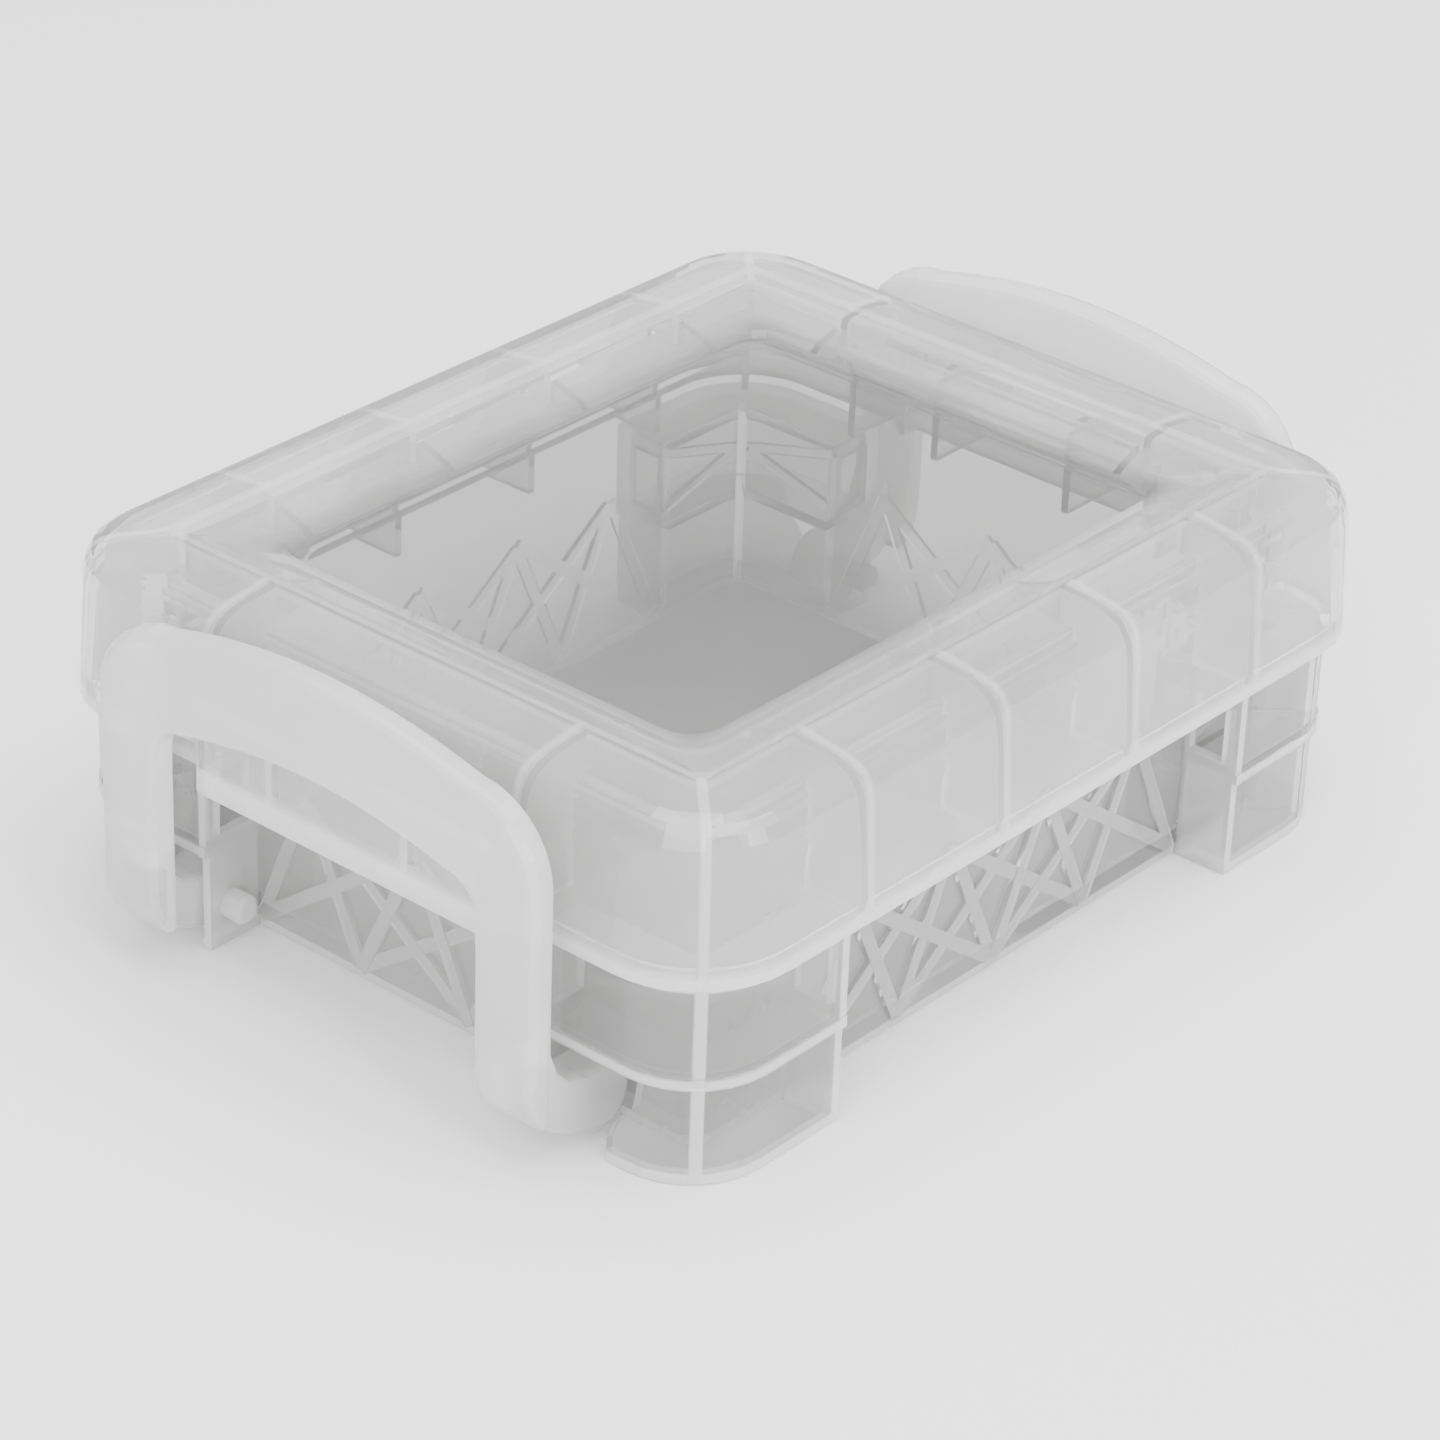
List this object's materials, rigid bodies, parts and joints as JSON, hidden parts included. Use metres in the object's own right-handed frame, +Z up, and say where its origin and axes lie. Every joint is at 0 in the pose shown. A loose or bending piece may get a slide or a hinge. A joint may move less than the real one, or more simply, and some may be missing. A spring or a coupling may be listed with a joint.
{
  "type": "small clip-lid storage box",
  "caption": "Small clear plastic box with a lift-off framed lid and an arched clip handle hinged at each short end.",
  "frame": {"origin": "middle of the box's footprint, on the plane it stands on", "axes": "+X along the long side towards one clip handle, +Y across the box, +Z up"},
  "size_m": [0.1196, 0.09, 0.0423],
  "materials": {
    "clear_shell": "clear moulded polypropylene, slightly hazy",
    "milky_handle": "translucent milky moulded polypropylene"
  },
  "bodies": {
    "tub": {"tub_base": "clear_shell"},
    "lid_cover": {"lid": "clear_shell"},
    "left_handle": {"clip_handle_left": "milky_handle"},
    "right_handle": {"clip_handle_right": "milky_handle"}
  },
  "joints": [
    {"name": "lid_lift", "type": "slide", "parent": "tub", "child": "lid_cover", "axis": [0, 0, 1], "range_m": [0, 0.03]},
    {"name": "left_handle_swing", "type": "hinge", "parent": "tub", "child": "left_handle", "pos_m": [-0.0489, 0, 0.0044], "axis": [0, -1, 0], "range_deg": [0, 95]},
    {"name": "right_handle_swing", "type": "hinge", "parent": "tub", "child": "right_handle", "pos_m": [0.0489, 0, 0.0044], "axis": [0, 1, 0], "range_deg": [0, 95]}
  ]
}
